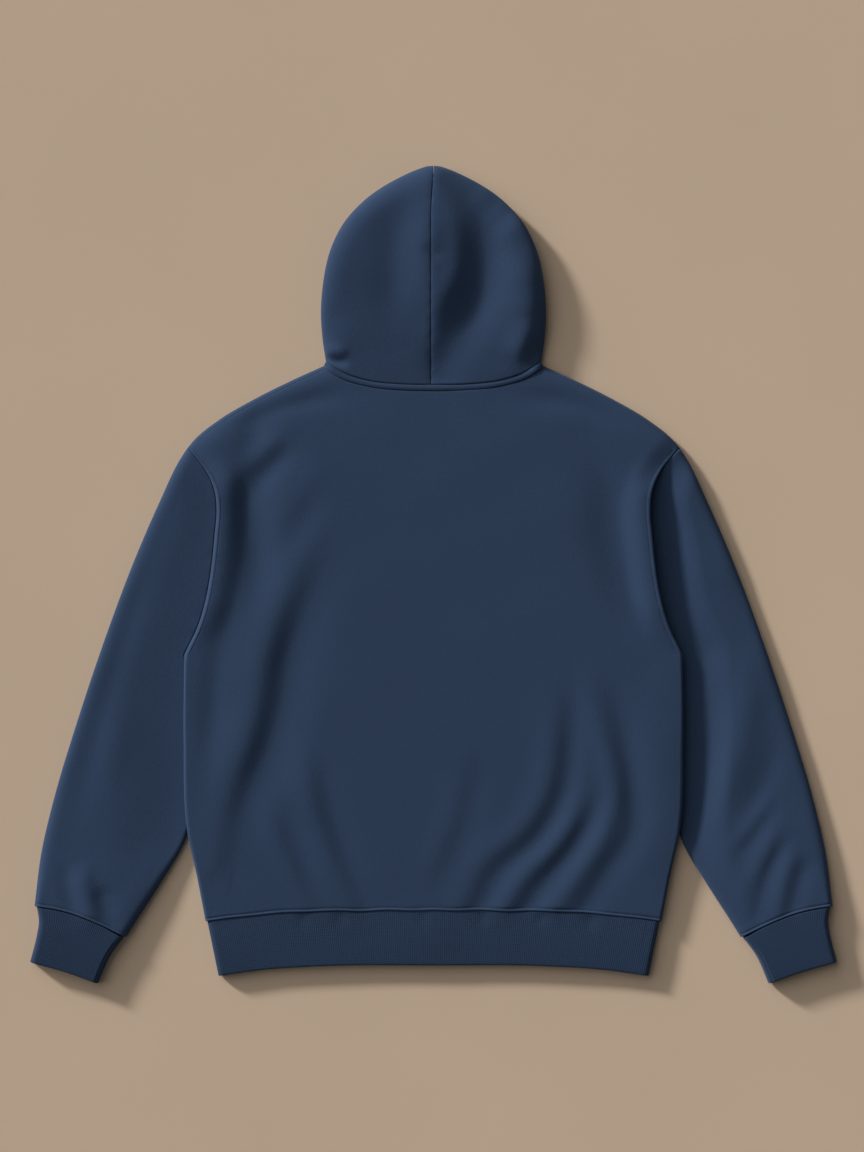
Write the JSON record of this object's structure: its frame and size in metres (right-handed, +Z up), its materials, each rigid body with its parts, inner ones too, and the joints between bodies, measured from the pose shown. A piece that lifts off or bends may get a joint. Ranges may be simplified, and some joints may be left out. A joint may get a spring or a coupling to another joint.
{
  "type": "zip-up hoodie",
  "caption": "Plain zip-up hooded sweatshirt in navy brushed fleece, laid flat back side up, with rib hem and cuffs and a closed front zip.",
  "frame": {"origin": "middle of the garment's footprint, on the surface it lies on", "axes": "+Z up from the surface, +Y towards the hood, +X to the right as seen from above; the back of the garment faces up and the zip faces down"},
  "size_m": [0.9438, 0.9554, 0.0335],
  "materials": {
    "fleece": "brushed fleece, matt",
    "rib": "fine rib knit, matt",
    "zip_tape": "woven tape",
    "metal": "satin"
  },
  "bodies": {
    "garment": {"back": "fleece", "front_left": "fleece", "front_right": "fleece", "sleeve_left": "fleece", "sleeve_right": "fleece", "hood_left": "fleece", "hood_right": "fleece", "neck_band": "fleece", "cuff_left": "rib", "cuff_right": "rib", "hem_band": "rib", "zip_tape_left": "zip_tape", "zip_tape_right": "zip_tape", "zip_teeth": "metal", "zip_pin_box": "metal", "zip_slider": "metal"},
    "pull": {"zip_pull": "metal"}
  },
  "joints": [
    {"name": "pull_swing", "type": "hinge", "parent": "garment", "child": "pull", "pos_m": [0, 0.1495, 0.0006], "axis": [1, 0, 0], "range_deg": [0, 170]}
  ]
}
